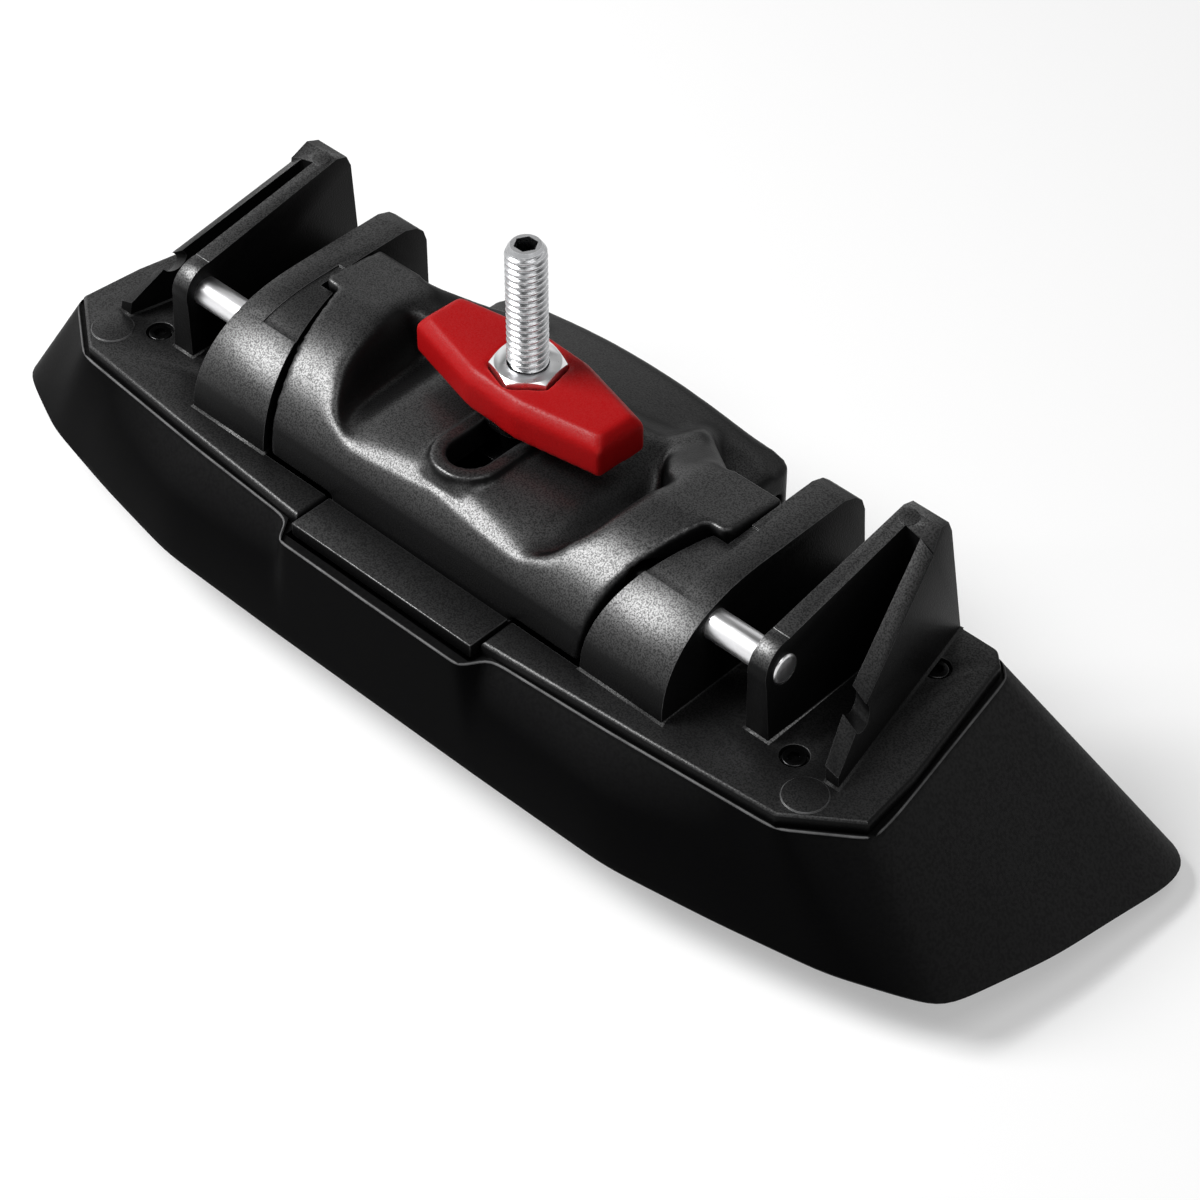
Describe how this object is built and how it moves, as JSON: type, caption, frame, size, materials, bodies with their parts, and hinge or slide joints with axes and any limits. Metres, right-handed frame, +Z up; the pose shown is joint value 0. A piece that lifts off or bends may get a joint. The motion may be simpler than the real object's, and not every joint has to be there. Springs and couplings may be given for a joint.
{
  "type": "saddle knee block",
  "caption": "Saddle knee block: hollow moulded block with a tilting cradle on pivot pins, a sliding clamp stud and a red wing grip that screws down to fix it.",
  "frame": {"origin": "middle of the flat underside of the block", "axes": "+X along the block and the pivot pins, +Y from the toe tab towards the tail of the cradle, +Z up along the clamp stud"},
  "size_m": [0.2656, 0.0905, 0.0985],
  "materials": {
    "block_plastic": "smooth semi-matt",
    "frame_plastic": "fine moulded grain",
    "cradle_plastic": "fine moulded grain",
    "pin_steel": "satin",
    "zinc_steel": "bright zinc",
    "nut_plate": "bright",
    "wing_red": "fine grain",
    "screw_black": "blackened",
    "insert_brass": "turned",
    "bush_bronze": "sintered"
  },
  "bodies": {
    "block": {"block_shell": "block_plastic", "base_plate": "frame_plastic", "hinge_block_left": "frame_plastic", "hinge_block_right": "frame_plastic", "guide_lug_left": "frame_plastic", "guide_lug_right": "frame_plastic", "pivot_pin_left": "pin_steel", "pivot_pin_right": "pin_steel", "plate_screw_fl": "screw_black", "plate_screw_fr": "screw_black", "plate_screw_rl": "screw_black", "plate_screw_rr": "screw_black", "screw_insert_fl": "insert_brass", "screw_insert_fr": "insert_brass", "screw_insert_rl": "insert_brass", "screw_insert_rr": "insert_brass", "hinge_screw_fl": "screw_black", "hinge_screw_fr": "screw_black", "hinge_screw_rl": "screw_black", "hinge_screw_rr": "screw_black", "lug_screw_left": "screw_black", "lug_screw_right": "screw_black"},
    "cradle": {"cradle": "cradle_plastic", "bush_left": "bush_bronze", "bush_right": "bush_bronze"},
    "slider": {"stud_slider": "screw_black", "clamp_stud": "zinc_steel", "stud_lock_nut": "screw_black"},
    "washer": {"clamp_washer": "zinc_steel"},
    "wing": {"wing_grip": "wing_red", "wing_nut": "nut_plate"}
  },
  "joints": [
    {"name": "cradle_tilt", "type": "hinge", "parent": "block", "child": "cradle", "pos_m": [0, -0.0164, 0.056], "axis": [1, 0, 0], "range_deg": [0, 30]},
    {"name": "stud_slide", "type": "slide", "parent": "cradle", "child": "slider", "axis": [0, 1, 0], "range_m": [-0.013, 0.0055]},
    {"name": "wing_lift", "type": "slide", "parent": "slider", "child": "washer", "axis": [0, 0, 1], "range_m": [0, 0.0251]},
    {"name": "wing_turn", "type": "hinge", "parent": "washer", "child": "wing", "pos_m": [0, -0.0009, 0.066], "axis": [0, 0, 1], "range_deg": [0, 6400]}
  ],
  "couplings": [
    {"joint": "wing_lift", "follows": "wing_turn", "m_per_rad": 0.00022457}
  ]
}
